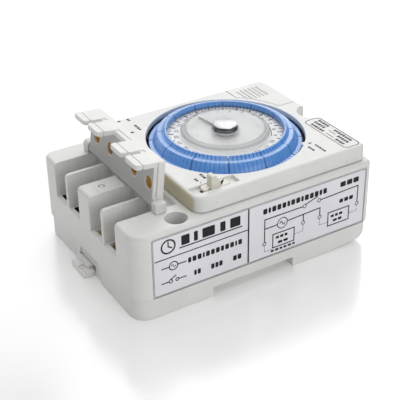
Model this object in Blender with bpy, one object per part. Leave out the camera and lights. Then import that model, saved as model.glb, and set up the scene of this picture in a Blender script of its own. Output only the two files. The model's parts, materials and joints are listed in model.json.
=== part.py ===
"""A 24 hour programmable timer for a boiler or heating circuit.

The case is a rear cover that clips on a 35 mm rail, a housing with the wire
terminals at its left end, and a raised front cover with the dial in it.
Lengths are in millimetres until an object is made, when they become metres.
+X runs from the terminals to the far end, -Y is the labelled side, +Z is up.
"""

import math

import bmesh
import bpy
from mathutils import Matrix, Vector

MM = 0.001
GAP = 0.3
OVERLAP = 0.5

# Case
CASE_X = 52.5
CASE_Y = 37.5
CASE_WALL = 2.2
CASE_CORNERS = (3.0, 3.5, 6.5, 3.0)
SPLIT_Z = 8.5
LEDGE_Z = 36.0
TOP_Z = 42.6
FILLET = 1.5
REAR_INSET = 0.5
REAR_FLOOR_Z = 6.0
LATCH_REACH = 3.5

# 35 mm rail groove under the case
RAIL_X = (-20.0, 15.9)
RAIL_DEPTH = 4.0
RELIEF_Z = 5.0
HOOK_HALF = 12.0

# Raised front cover
FRONT_X = (-26.0, 50.4)
FRONT_Y = 35.5
FRONT_WALL = 2.0
FRONT_CORNERS = (3.0, 5.0, 5.0, 3.0)
SKIN_Z = TOP_Z - 2.2

# Wire entries, one for each terminal
SLOT_Y = (22.15, 11.05, -7.65, -18.75)
SLOT_HALF = 4.75
SLOT_FLOOR = 21.3
SLOT_END = -33.5
BLOCK_FLOOR = 14.0
PLATE_Z = 19.1
SCREW_X = -42.5

# Wall mounting holes
MOUNTS = ((-32.4, -32.1), (46.8, -1.0))
MOUNT_HOLE = 2.2
MOUNT_HEAD = 4.13
MOUNT_SEAT_Z = 12.0
NOTCH = (50.0, -1.0, 6.0)

# Case screws, driven from below
CASE_SCREWS = ((-45.5, 30.0), (28.0, -32.0))

# Dial and gear train
DIAL = (9.5, 1.0)
WELL_R = 31.2
CARRIER_R = 29.0
SPIGOT_R = 23.8
HUB_R = 5.5
ARBOR_R = 1.5
PINS = 96
BANKS = 12
DIAL_TEETH = 48
PINION_TEETH = 8
IDLER_TEETH = 40
ARBOR_TEETH = 10
WHEEL_TEETH = 48
FINE_MODULE = 0.5
TRAIN_SPACING = 14.0
IDLER_MODULE = 2 * TRAIN_SPACING / (IDLER_TEETH + ARBOR_TEETH)
IDLER_ANGLE = math.radians(90)
MOTOR_ANGLE = math.radians(-30)
MOTOR = (24.0, -13.0)
PLATE_BOX = (-14.0, 34.0, -24.0, 27.0)

# Terminal cover, shown open
HINGE = (-35.5, 38.3)
LEAN = math.radians(6)
COVER_Y = (-23.6, 27.0)
FINGERS = tuple((y - SLOT_HALF + GAP, y + SLOT_HALF - GAP) for y in SLOT_Y)

# Override switch
SLIDE_X = (-24.6, -5.5)
SLIDE_Y = (-32.0, -27.0)
SLIDE_MID = -14.5

# Battery door
DOOR_X = 31.0
DOOR_Y = 10.0
DOOR_RIM = 33.3
GRIPS = 6

# Switch works
LEVER = (-21.0, -22.5)
ARM = (-21.5, -28.4)

# Latch under the terminals
LATCH_Y = (-2.0, 14.0)
LATCH_MID = 6.0

MATERIALS = {
    "case_white": ((0.80, 0.80, 0.78), 0.35, 0.0),
    "cover_white": ((0.84, 0.84, 0.81), 0.35, 0.0),
    "ivory": ((0.83, 0.81, 0.70), 0.35, 0.0),
    "latch_white": ((0.88, 0.88, 0.87), 0.40, 0.0),
    "pin_blue": ((0.10, 0.28, 0.72), 0.30, 0.0),
    "dial_white": ((0.90, 0.90, 0.90), 0.40, 0.0),
    "clear": ((0.95, 0.97, 0.98), 0.08, 0.0),
    "black": ((0.02, 0.02, 0.02), 0.45, 0.0),
    "chrome": ((0.82, 0.82, 0.84), 0.12, 1.0),
    "brass": ((0.72, 0.55, 0.22), 0.30, 1.0),
    "copper": ((0.80, 0.42, 0.25), 0.30, 1.0),
    "steel": ((0.60, 0.60, 0.62), 0.35, 1.0),
    "phenolic": ((0.07, 0.05, 0.04), 0.50, 0.0),
    "board_green": ((0.04, 0.22, 0.10), 0.45, 0.0),
    "cell_green": ((0.10, 0.40, 0.18), 0.35, 0.0),
    "label_silver": ((0.76, 0.76, 0.80), 0.40, 0.2),
}


def clear_scene():
    for thing in list(bpy.data.objects):
        bpy.data.objects.remove(thing)


def make_material(name):
    if name in bpy.data.materials:
        return bpy.data.materials[name]
    colour, roughness, metallic = MATERIALS[name]
    material = bpy.data.materials.new(name)
    material.use_nodes = True
    shader = material.node_tree.nodes["Principled BSDF"]
    shader.inputs["Base Color"].default_value = (*colour, 1.0)
    shader.inputs["Roughness"].default_value = roughness
    shader.inputs["Metallic"].default_value = metallic
    return material


# Outlines: lists of points in a plane


def rectangle(x0, x1, y0, y1):
    return [(x0, y0), (x1, y0), (x1, y1), (x0, y1)]


def rounded(x0, x1, y0, y1, radii, steps=4):
    """A rectangle with corner radii from the +x +y corner anticlockwise."""
    signs = ((1, 1), (-1, 1), (-1, -1), (1, -1))
    points = []
    for turn, ((sx, sy), radius) in enumerate(zip(signs, radii)):
        cx = (x1 - radius) if sx > 0 else (x0 + radius)
        cy = (y1 - radius) if sy > 0 else (y0 + radius)
        for step in range(steps + 1):
            angle = math.pi / 2 * (turn + step / steps)
            points.append((cx + radius * math.cos(angle), cy + radius * math.sin(angle)))
    return points


def circle(cx, cy, radius, count=24):
    angles = [2 * math.pi * i / count for i in range(count)]
    return [(cx + radius * math.cos(a), cy + radius * math.sin(a)) for a in angles]


def gear(cx, cy, teeth, module, phase=0.0):
    """Slim straight-flanked teeth, one of them centred on the phase angle."""
    pitch = 2 * math.pi / teeth
    radius = module * teeth / 2
    root = radius - 1.15 * module
    tip = radius + 0.75 * module
    flank = ((root, -0.22), (tip, -0.07), (tip, 0.07), (root, 0.22))
    points = []
    for tooth in range(teeth):
        for r, share in flank:
            angle = phase + pitch * (tooth + share)
            points.append((cx + r * math.cos(angle), cy + r * math.sin(angle)))
    return points


# Solids: meshes in millimetres


def loft(rings, closed=False):
    """Joins rings of equal length; open ends are capped, closed ones meet."""
    bm = bmesh.new()
    rows = [[bm.verts.new(point) for point in ring] for ring in rings]
    pairs = list(zip(rows, rows[1:]))
    if closed:
        pairs.append((rows[-1], rows[0]))
    else:
        bm.faces.new(rows[0])
        bm.faces.new(rows[-1])
    for low, high in pairs:
        for i, corner in enumerate(low):
            j = (i + 1) % len(low)
            bm.faces.new((corner, low[j], high[j], high[i]))
    bmesh.ops.recalc_face_normals(bm, faces=bm.faces)
    return bm


def prism(outline, low, high, axis="Z"):
    """An outline in the plane across the axis, drawn out from low to high."""
    place = {
        "Z": lambda a, b, c: (a, b, c),
        "Y": lambda a, b, c: (a, c, b),
        "X": lambda a, b, c: (c, a, b),
    }[axis]
    return loft([[place(a, b, level) for a, b in outline] for level in (low, high)])


def box(x0, x1, y0, y1, z0, z1):
    return prism(rectangle(x0, x1, y0, y1), z0, z1)


def rod(cx, cy, radius, low, high, count=24, axis="Z"):
    return prism(circle(cx, cy, radius, count), low, high, axis)


def turned(profile, centre, count=40, bored=False):
    """A profile of (radius, height) points turned about an upright axis."""
    rings = [
        [(x, y, height) for x, y in circle(*centre, radius, count)]
        for radius, height in profile
    ]
    return loft(rings, closed=bored)


def case_block(x, y, radii, low, high):
    """An upright rounded block whose top edge has a fillet."""
    levels = [(low, 0.0)]
    for step in range(4):
        angle = math.pi / 2 * step / 3
        levels.append(
            (high - FILLET * (1 - math.sin(angle)), FILLET * (1 - math.cos(angle)))
        )
    rings = []
    for level, inset in levels:
        corners = [radius - inset for radius in radii]
        outline = rounded(x[0] + inset, x[1] - inset, y[0] + inset, y[1] - inset, corners)
        rings.append([(a, b, level) for a, b in outline])
    return loft(rings)


# Objects


def piece(name, bm, material, origin=(0, 0, 0)):
    """Makes an object of a mesh in millimetres, with its origin as given."""
    bmesh.ops.translate(bm, vec=-Vector(origin), verts=bm.verts)
    bmesh.ops.scale(bm, vec=(MM, MM, MM), verts=bm.verts)
    mesh = bpy.data.meshes.new(name)
    bm.to_mesh(mesh)
    bm.free()
    mesh.materials.append(make_material(material))
    thing = bpy.data.objects.new(name, mesh)
    thing.location = Vector(origin) * MM
    bpy.context.scene.collection.objects.link(thing)
    return thing


def combine(target, solids, operation):
    """Cuts solids out of an object, or adds them to it, for good."""
    tools = []
    for solid in solids:
        tool = piece("tool", solid, "black")
        tool.hide_render = True
        tool.display_type = "WIRE"
        tools.append(tool)
        modifier = target.modifiers.new("tool", "BOOLEAN")
        modifier.operation = operation
        modifier.solver = "EXACT"
        modifier.object = tool
    bpy.context.view_layer.update()
    graph = bpy.context.evaluated_depsgraph_get()
    mesh = bpy.data.meshes.new_from_object(target.evaluated_get(graph))
    target.modifiers.clear()
    target.data = mesh
    for tool in tools:
        bpy.data.objects.remove(tool)


def cut(target, *solids):
    combine(target, solids, "DIFFERENCE")


def add(target, *solids):
    combine(target, solids, "UNION")


def taken(thing):
    """Takes an object's mesh back into millimetres and removes the object."""
    solid = bmesh.new()
    solid.from_mesh(thing.data)
    bmesh.ops.scale(solid, vec=(1 / MM, 1 / MM, 1 / MM), verts=solid.verts)
    bpy.data.objects.remove(thing)
    return solid


def soften(thing, angle=35):
    thing.data.shade_smooth()
    thing.data.set_sharp_from_angle(angle=math.radians(angle))


# Case


def rear_cover():
    x = CASE_X - REAR_INSET
    y = CASE_Y - REAR_INSET
    cover = piece("rear_cover", prism(rounded(-x, x, -y, y, CASE_CORNERS), 0, SPLIT_Z),
                  "case_white")
    slope = [(33, 0), (48, 1.5), (CASE_X, 4.4), (60, 4.4), (60, -1), (33, -1)]
    inner = rounded(-x + 2, x - 2, -y + 2, y - 2, (1, 4.5, 4.5, 1))
    pockets = [
        box(-x + 2, RAIL_X[0] - 2, -26, LATCH_Y[0] - 2, 2, REAR_FLOOR_Z + OVERLAP),
        box(-x + 7, RAIL_X[0] - 2, LATCH_Y[1] + 2, 25, 2, REAR_FLOOR_Z + OVERLAP),
        box(RAIL_X[1] + 2, 42, 5, 33, 2.8, REAR_FLOOR_Z + OVERLAP),
        box(RAIL_X[1] + 2, 42, -26, -7, 2.8, REAR_FLOOR_Z + OVERLAP),
    ]
    cut(
        cover,
        prism(slope, -60, 60, "Y"),
        box(*RAIL_X, -60, 60, -1, RAIL_DEPTH),
        prism(inner, REAR_FLOOR_Z, SPLIT_Z + 1),
        *pockets,
    )
    bosses = [rod(*MOUNTS[0], 4.6, 4.0, SPLIT_Z), rod(*MOUNTS[1], 4.0, 4.6, SPLIT_Z)]
    bosses += [rod(*spot, 4.0, 3.0, SPLIT_Z) for spot in CASE_SCREWS]
    add(cover, *bosses)
    holes = [rod(*spot, MOUNT_HOLE, -1, 10, 16) for spot in MOUNTS]
    for spot in CASE_SCREWS:
        holes.append(rod(*spot, 3.4, -1, 2.6, 16))
        holes.append(rod(*spot, 1.8, 2, 10, 16))
    channel = [
        box(-60, RAIL_X[0] + 1, LATCH_Y[0], LATCH_Y[1], 1.3, 4.3),
        box(-60, RAIL_X[0] + 1, LATCH_Y[0] + 2, LATCH_Y[1] - 2, -1, 1.4),
        prism(rounded(-7.5, 10, -3, 8, (2.5, 2.5, 1, 1), 3), -60, -x + 0.7, "X"),
    ]
    reliefs = [
        box(RAIL_X[0] - OVERLAP, RAIL_X[0] + 1.6, *LATCH_Y, 3, RELIEF_Z),
        box(RAIL_X[1] - 1.6, RAIL_X[1], -HOOK_HALF - GAP, HOOK_HALF + GAP, 3, RELIEF_Z),
    ]
    cut(cover, *holes, *channel, *reliefs)
    hook = box(RAIL_X[1] - 1.3, RAIL_X[1] + OVERLAP, -HOOK_HALF, HOOK_HALF, 0.3, 2.4)
    post = box(-39.7, -38, LATCH_MID - 1.6, LATCH_MID + 1.6, 1.5, 4.6)
    add(cover, hook, post)
    return cover


def terminal_cuts(y):
    """The wire entry, plate seat, link passage and screw hole of a terminal."""
    half = SLOT_HALF
    return [
        box(-60, SLOT_END, y - half, y + half, SLOT_FLOOR, LEDGE_Z + 5),
        box(-50.3, SLOT_END - 2, y - half + GAP, y + half - GAP, PLATE_Z - GAP, SLOT_FLOOR + 1),
        box(SLOT_END - 3, -24, y - 2.4, y + 2.4, PLATE_Z - GAP, PLATE_Z + 2),
        rod(SCREW_X, y, 2.3, BLOCK_FLOOR - 1, PLATE_Z, 16),
    ]


def housing():
    low = SPLIT_Z + GAP
    shell = piece(
        "housing",
        case_block((-CASE_X, CASE_X), (-CASE_Y, CASE_Y), CASE_CORNERS, low, LEDGE_Z),
        "case_white",
    )
    inner_y = CASE_Y - CASE_WALL
    bay = rounded(-24.8, CASE_X - CASE_WALL, -inner_y, inner_y, (1.5, 1, 1, 1.5), 2)
    mouth = rounded(-24, 48.2, -33.3, 33.3, (1.5, 3, 3, 1.5), 3)
    cut(
        shell,
        prism(bay, 0, LEDGE_Z - 2.2),
        prism(mouth, LEDGE_Z - 4, LEDGE_Z + 5),
        box(-50.3, -27, -35.3, 35.3, 0, BLOCK_FLOOR),
        box(-50.3, -39.2, -35.3, -25.5, 0, 34),
        box(-50.3, -29.5, 29, 35.3, 0, 34),
    )
    add(
        shell,
        rod(*MOUNTS[0], 5.2, low, 30),
        rod(*MOUNTS[1], 4.2, low, LEDGE_Z),
        rod(*CASE_SCREWS[0], 3.6, low, 16),
        rod(*CASE_SCREWS[1], 3.6, low, 16),
    )
    cuts = [
        rod(*MOUNTS[0], MOUNT_HEAD, MOUNT_SEAT_Z, 50, 32),
        rod(*MOUNTS[0], MOUNT_HOLE, 0, 20, 16),
        rod(*MOUNTS[1], MOUNT_HOLE, 0, 50, 16),
        rod(*CASE_SCREWS[0], 1.7, 0, 15, 12),
        rod(*CASE_SCREWS[1], 1.7, 0, 15, 12),
        rod(-44.5, 1.9, 1.3, 26, 50, 16),
        box(-31.5, -27.5, -24, 27, LEDGE_Z - 2.5, 50),
        box(-45.5, 49.5, -60, -CASE_Y + 0.5, 9.0, 33.7),
    ]
    for y in SLOT_Y:
        cuts += terminal_cuts(y)
    cut(shell, *cuts)
    return shell


def front_shell(name, material):
    """The raised cover as one shell, before the battery door is parted off."""
    shell = piece(
        name,
        case_block(FRONT_X, (-FRONT_Y, FRONT_Y), FRONT_CORNERS, LEDGE_Z + GAP, TOP_Z),
        material,
    )
    wall = FRONT_WALL
    inner = rounded(
        FRONT_X[0] + wall, FRONT_X[1] - wall, -FRONT_Y + wall, FRONT_Y - wall,
        (1, 3, 3, 1), 3,
    )
    hollow = piece("hollow", prism(inner, 0, SKIN_Z), material)
    cut(hollow, rod(*NOTCH[:2], NOTCH[2] + 1.6, -1, 50, 24))
    cut(shell, taken(hollow), rod(*NOTCH, 0, 50, 32), rod(*DIAL, WELL_R, 0, 50, 64))
    return shell


def door_block(gap):
    """The corner over the battery, clear of the rim round the dial."""
    block = piece("block", box(DOOR_X + gap, 60, DOOR_Y + gap, 60, 0, 50), "black")
    cut(block, rod(*DIAL, DOOR_RIM + gap, -1, 51, 64))
    return taken(block)


def front_cover():
    cover = front_shell("front_cover", "case_white")
    cut(
        cover,
        door_block(0),
        box(*SLIDE_X, *SLIDE_Y, 41.2, 50),
        box(-20.5, -8.5, -30.6, -28.4, 0, 50),
    )
    return cover


def battery_door():
    door = front_shell("battery_door", "case_white")
    combine(door, [door_block(GAP)], "INTERSECT")
    grooves = []
    for grip in range(GRIPS):
        x = 33.9 + 1.9 * grip
        grooves.append(box(x, x + 0.8, 21.5, 31, TOP_Z - 0.5, 50))
    cut(door, *grooves)
    return door


def nameplate():
    outline = rounded(-45.2, 49.2, 9.3, 33.4, (0.8, 0.8, 0.8, 0.8), 2)
    return piece("nameplate", prism(outline, -CASE_Y, -CASE_Y + 0.2, "Y"), "label_silver")


def case_screw(number, spot):
    profile = [(1.4, 14.5), (1.4, 2.2), (3.0, 2.2), (3.0, 0.6)]
    screw = piece(f"case_screw_{number}", turned(profile, spot, 16), "steel")
    cut(screw, box(spot[0] - 4, spot[0] + 4, spot[1] - 0.4, spot[1] + 0.4, 0, 1.2))
    return screw


# Terminals


def terminal(number, y):
    strip = [
        (-50, y - 4.1), (-36.2, y - 4.1), (-36.2, y - 1.8), (-21.5, y - 1.8),
        (-21.5, y + 1.8), (-36.2, y + 1.8), (-36.2, y + 4.1), (-50, y + 4.1),
    ]
    plate = piece(f"terminal_plate_{number}", prism(strip, PLATE_Z, PLATE_Z + 1.2), "brass")
    cut(plate, rod(SCREW_X, y, 2.3, 0, 50, 16))
    low = PLATE_Z + 1.5
    washer = rounded(SCREW_X - 3.7, SCREW_X + 3.7, y - 3.8, y + 3.8, (1, 1, 1, 1), 2)
    clamp = piece(f"wire_clamp_{number}", prism(washer, low, low + 1.0), "steel",
                  (SCREW_X, y, low))
    cut(clamp, rod(SCREW_X, y, 2.3, 0, 50, 16))
    head = low + 1.3
    profile = [(2.0, 14.6), (2.0, head), (3.6, head), (3.6, head + 2.2), (3.0, head + 2.8)]
    screw = piece(f"terminal_screw_{number}", turned(profile, (SCREW_X, y), 14), "steel",
                  (SCREW_X, y, head))
    cut(
        screw,
        box(SCREW_X - 4, SCREW_X + 4, y - 0.45, y + 0.45, head + 1.6, 50),
        box(SCREW_X - 0.45, SCREW_X + 0.45, y - 2.6, y + 2.6, head + 1.6, 50),
    )


def terminal_cover():
    """Made upright about the hinge line, then leaned back to the open stop."""
    y0, y1 = COVER_Y
    cover = piece("terminal_cover", box(0.1, 2.7, y0, y1, 0, 16.3), "cover_white")
    parts = [
        box(-1.6, 0.4, y0 + 0.8, y1 - 0.8, 0.3, 15.9),
        rod(0, 0, 1.9, y0, y1, 20, "Y"),
        rod(0, 0, 1.0, y0 - 3.0, y1 + 3.2, 16, "Y"),
    ]
    for low, high in FINGERS:
        blade = rounded(-5.8, 0.6, low, high, (0.3, 0.6, 0.6, 0.3), 2)
        lip = rounded(-8.8, -6.2, low, high, (0.4, 1.2, 1.2, 0.4), 3)
        parts.append(prism(blade, 14.4, 16.3))
        parts.append(box(-6.6, -5.4, low + 0.5, high - 0.5, 15.0, 15.6))
        parts.append(prism(lip, 14.5, 16.4))
    add(cover, *parts)
    holes = [rod(y - 1.0, 7.2, 2.5, -9, 9, 20, "X") for y in SLOT_Y]
    holes.append(rod(1.9, 9.0, 1.5, -9, 9, 16, "X"))
    cut(cover, *holes)
    lean = Matrix.Rotation(LEAN, 4, "Y")
    cover.data.transform(lean)
    cover.location = (HINGE[0] * MM, 0, HINGE[1] * MM)
    return cover


def hinge_bracket(name, low, high, socket):
    x0, x1 = HINGE[0] - 2.2, HINGE[0] + 2.2
    outline = rounded(x0, x1, LEDGE_Z + GAP, 40.7, (1.6, 1.6, 0.3, 0.3), 4)
    bracket = piece(name, prism(outline, low, high, "Y"), "cover_white")
    cut(bracket, rod(*HINGE, 1.35, *socket, 16, "Y"))
    return bracket


# Rail latch


def rail_latch():
    y0, y1 = LATCH_Y
    end = -CASE_X - LATCH_REACH
    latch = piece(
        "rail_latch",
        box(-51, RAIL_X[0] - 1, y0 + 0.4, y1 - 0.4, 1.6, 4.0),
        "latch_white",
        (end, LATCH_MID, 2),
    )
    grip = rounded(end, -CASE_X + 0.2, y0 + 0.4, y1 - 0.4, (0.3, 1.2, 1.2, 0.3), 3)
    add(
        latch,
        box(-53, RAIL_X[0] + 1.2, y0 + 2.4, y1 - 2.4, 0.3, 2.4),
        prism(grip, 0.4, 2.4),
        box(end + 0.6, -50.5, LATCH_MID - 5, LATCH_MID + 5, 2.0, 4.0),
    )
    cut(
        latch,
        box(-40, -23, LATCH_MID - 2, LATCH_MID + 2, -1, 9),
        rod(end + 2.0, LATCH_MID, 0.7, -1, 9, 12),
    )
    return latch


def latch_spring():
    turns, per_turn, sides = 6, 8, 4
    start, end = -37.5, -23.5
    count = turns * per_turn
    rings = []
    for i in range(count + 1):
        angle = 2 * math.pi * i / per_turn
        x = start + (end - start) * i / count
        radial = Vector((0, math.cos(angle), math.sin(angle)))
        centre = Vector((x, LATCH_MID, 2.75)) + 1.0 * radial
        ring = []
        for side in range(sides):
            turn = 2 * math.pi * side / sides
            ring.append(centre + 0.28 * (radial * math.cos(turn) + Vector((math.sin(turn), 0, 0))))
        rings.append(ring)
    return piece("latch_spring", loft(rings), "steel")


# Dial


def pin_bank(number):
    """Setting pins of two hours, a V groove between each and the next."""
    width = 2 * math.pi / BANKS
    start = width * number
    clear = 0.012
    full = ((24.9, 40.4), (30.0, 40.4), (30.0, 40.8), (28.4, 40.9), (26.5, 44.4), (24.8, 44.4),
            (23.8, 45.7), (23.0, 45.8), (22.75, 43.4), (24.9, 43.4))
    low = ((24.9, 40.4), (29.8, 40.4), (29.8, 40.7), (28.2, 40.8), (26.3, 44.2), (24.7, 44.2),
           (23.8, 45.4), (23.1, 45.5), (22.85, 43.5), (24.9, 43.5))
    per_bank = PINS // BANKS
    rings = []
    for step in range(2 * per_bank + 1):
        share = step / (2 * per_bank)
        angle = start + clear + (width - 2 * clear) * share
        profile = full if step % 2 else low
        rings.append(
            [(DIAL[0] + r * math.cos(angle), DIAL[1] + r * math.sin(angle), z) for r, z in profile]
        )
    return piece(f"setting_pins_{number + 1:02d}", loft(rings), "pin_blue")


def dial_pieces():
    carrier = [
        (ARBOR_R + 0.4, 33.9), (HUB_R, 33.9), (HUB_R, 38.8), (CARRIER_R, 38.8),
        (CARRIER_R, 40.1), (SPIGOT_R, 40.1), (SPIGOT_R, 42.0), (ARBOR_R + 0.4, 42.0),
    ]
    centre = (*DIAL, 42.0)
    soften(piece("dial_carrier", turned(carrier, DIAL, bored=True), "pin_blue", centre))
    face = [(3.5, 42.3), (23.6, 42.3), (23.6, 43.0), (3.5, 43.0)]
    soften(piece("dial_face", turned(face, DIAL, bored=True), "dial_white", centre))
    for number in range(BANKS):
        pin_bank(number)
    ring = piece("dial_gear", prism(gear(*DIAL, DIAL_TEETH, FINE_MODULE), 34.4, 36.2), "brass",
                 centre)
    cut(ring, rod(*DIAL, HUB_R + GAP, 0, 50, 32))


def centre_pieces():
    top = (*DIAL, 45.0)
    disc = [(5.5, 44.2), (17.6, 44.2), (17.6, 44.6), (16.4, 45.7), (5.5, 45.7)]
    soften(piece("minute_disc", turned(disc, DIAL, 48, bored=True), "clear", top))
    knob = [(5.2, 44.6), (5.2, 45.6), (4.6, 46.0), (4.6, 47.0), (4.2, 47.4)]
    soften(piece("centre_knob", turned(knob, DIAL, 32), "chrome", top))
    x, y = DIAL
    hand = piece("minute_hand", rod(x, y, 3.2, 43.4, 43.9), "black", top)
    blade = rectangle(-0.35, 0.35, 2.5, 16.5)
    aim = Matrix.Rotation(math.radians(8), 2)
    add(hand, prism([(x + p.x, y + p.y) for p in (aim @ Vector(c) for c in blade)], 43.4, 43.9))
    cut(hand, rod(x, y, ARBOR_R + GAP, 0, 50, 16))
    arbor = piece("centre_arbor", rod(x, y, ARBOR_R, 25.2, 44.2, 16), "brass", top)
    add(
        arbor,
        prism(gear(x, y, ARBOR_TEETH, IDLER_MODULE), 31.0, 33.4),
        prism(gear(x, y, WHEEL_TEETH, FINE_MODULE), 27.8, 29.2),
    )


def around(angle):
    return (
        DIAL[0] + TRAIN_SPACING * math.cos(angle),
        DIAL[1] + TRAIN_SPACING * math.sin(angle),
    )


def mesh_phase(teeth, followed_teeth, angle):
    """Turns a gear so that its gap meets the other gear's nearest tooth."""
    pitch = 2 * math.pi / followed_teeth
    off = angle - round(angle / pitch) * pitch
    return angle + math.pi + math.pi / teeth + off * followed_teeth / teeth


def train_pieces():
    x, y = around(IDLER_ANGLE)
    idler = piece("idler_gear", rod(x, y, 1.0, 25.2, 38.0, 12), "brass", (x, y, 32))
    wheel_phase = mesh_phase(IDLER_TEETH, ARBOR_TEETH, IDLER_ANGLE)
    leaf_phase = mesh_phase(PINION_TEETH, DIAL_TEETH, IDLER_ANGLE)
    add(
        idler,
        prism(gear(x, y, IDLER_TEETH, IDLER_MODULE, wheel_phase), 31.2, 32.9),
        prism(gear(x, y, PINION_TEETH, FINE_MODULE, leaf_phase), 32.6, 36.4),
    )
    x, y = around(MOTOR_ANGLE)
    pinion = piece("motor_pinion", rod(x, y, 0.8, 24.8, 30.4, 12), "steel", (x, y, 28))
    phase = mesh_phase(PINION_TEETH, WHEEL_TEETH, MOTOR_ANGLE)
    add(pinion, prism(gear(x, y, PINION_TEETH, FINE_MODULE, phase), 27.4, 29.6))


def movement():
    corners = (2, 2, 2, 2)
    x0, x1, y0, y1 = PLATE_BOX
    outline = rounded(x0, x1, y0, y1, corners, 2)
    lower = piece("movement_plate", prism(outline, 25.0, 26.2), "steel")
    spots = [(x, y) for x in (x0 + 2.2, x1 - 2.2) for y in (y0 + 2.2, y1 - 2.2)]
    add(lower, *[rod(*spot, 2.0, 26.0, 36.6, 12) for spot in spots])
    idler = around(IDLER_ANGLE)
    motor = around(MOTOR_ANGLE)
    cut(
        lower,
        rod(*DIAL, ARBOR_R + GAP, 0, 50, 16),
        rod(*idler, 1.3, 0, 50, 12),
        rod(*motor, 1.2, 0, 50, 12),
    )
    upper = piece("bearing_plate", prism(outline, 36.9, 38.1), "steel")
    cut(upper, rod(*DIAL, HUB_R + GAP, 0, 50, 24), rod(*idler, 1.3, 0, 50, 12))
    can = [(10.0, 9.6), (12.5, 10.4), (12.5, 23.0), (11.5, 24.5)]
    case = piece("motor_case", turned(can, MOTOR, 24), "steel")
    ears = rounded(MOTOR[0] - 3, MOTOR[0] + 3, MOTOR[1] - 15.5, MOTOR[1] + 15.5,
                   (2.5, 2.5, 2.5, 2.5), 3)
    add(case, prism(ears, 21.0, 22.0))
    soften(case)


# Switch works


def override_slider():
    slot = (SLIDE_Y[0] + GAP, SLIDE_Y[1] - GAP)
    ends = (2.1, 2.1, 2.1, 2.1)
    plate = rounded(SLIDE_MID - 5.5, SLIDE_MID + 5.5, *slot, ends, 4)
    slider = piece("override_slider", prism(plate, 41.5, TOP_Z), "ivory", (SLIDE_MID, -29.5, 42))
    add(
        slider,
        box(-17.4, -13.2, slot[0] + 0.1, -28.1, TOP_Z - OVERLAP, 45.9),
        box(-15.6, -13.4, -30.2, -28.8, 38.2, 42),
    )
    return slider


def switch_works():
    base = piece("switch_base", box(-23.5, -4, -33.5, -24.6, 12, 27), "phenolic")
    cut(base, box(-19, -8, -31.5, -26.6, 20, 30))
    fixed = piece("fixed_contact", box(-8.0, -4.6, -27.5, -26.7, 27.3, 31), "copper")
    add(fixed, rod(-7.2, 29.2, 0.7, -27.75, -27.0, 10, "Y"))
    arm = piece("contact_arm", box(-20.5, -6.2, -28.6, -28.2, 27.6, 30.8), "copper", (*ARM, 29))
    add(arm, rod(*ARM, 1.3, 27.6, 30.8, 12), rod(-7.2, 29.2, 0.7, -28.5, -28.05, 10, "Y"))
    x, y = LEVER
    lever = piece("trip_lever", rod(x, y, 1.7, 29.0, 38.0, 16), "ivory", (x, y, 36))
    nose = (-18.19, -11.91)
    reach = Vector((nose[0] - x, nose[1] - y))
    side = Vector((-reach.y, reach.x)).normalized() * 0.8
    bar = [side, -side, reach - side * 0.5, reach + side * 0.5]
    tail = [(0.8, 0.9), (-0.8, -0.9), (5.6, -5.2), (6.6, -4.4)]
    add(
        lever,
        prism([(x + p.x, y + p.y) for p in bar], 34.0, 36.4),
        prism(circle(nose[0] - 0.2, nose[1] - 0.07, 0.3, 10), 34.6, 41.9),
        prism([(x + a, y + b) for a, b in tail], 29.4, 32.0),
    )


def electrics():
    board = rounded(-22, 32, 4, 33, (1, 1, 1, 1), 1)
    piece("circuit_board", prism(board, 11.0, 12.6), "board_green")
    can = [(5.0, 12.9), (5.0, 23.2), (4.4, 24.0)]
    soften(piece("capacitor", turned(can, (-12, 20), 20), "black"))
    piece("supply_coil", case_block((2, 20), (10, 28), (1.6, 1.6, 1.6, 1.6), 12.9, 24), "phenolic")
    piece("bus_link", box(-21.0, -20.0, -9.5, 13, 18.2, 21.2), "copper")
    cell = rod(42.3, 31, 5.8, 13, 32, 24, "Y")
    soften(piece("battery_cell", cell, "cell_green"))
    piece("battery_contact", box(38.5, 46, 32.5, 33.1, 25, 36), "steel")


def main():
    clear_scene()
    rear_cover()
    housing()
    front_cover()
    battery_door()
    nameplate()
    for number, spot in enumerate(CASE_SCREWS, 1):
        case_screw(number, spot)
    for number, y in enumerate(SLOT_Y, 1):
        terminal(number, y)
    terminal_cover()
    hinge_bracket("hinge_bracket_near", -27.2, -24.0, (-26.9, -20))
    hinge_bracket("hinge_bracket_far", 27.4, 31.0, (20, 30.6))
    rail_latch()
    latch_spring()
    dial_pieces()
    centre_pieces()
    train_pieces()
    movement()
    override_slider()
    switch_works()
    electrics()
    datum = bpy.data.objects.new("datum", None)
    bpy.context.scene.collection.objects.link(datum)
    datum.location = (LATCH_REACH / 2 * MM, 0, 0)
    for thing in list(bpy.data.objects):
        if thing is not datum:
            thing.parent = datum


main()
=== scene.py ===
"""Looks of the programmable timer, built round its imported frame.

Lengths are in millimetres, measured from the middle of the housing, until a
piece is made, when they become metres in the frame. +X runs from the terminals
to the far end, -Y is the labelled side, +Z is up.
"""

import json
import math

import bmesh
import bpy
from mathutils import Matrix, Vector


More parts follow.
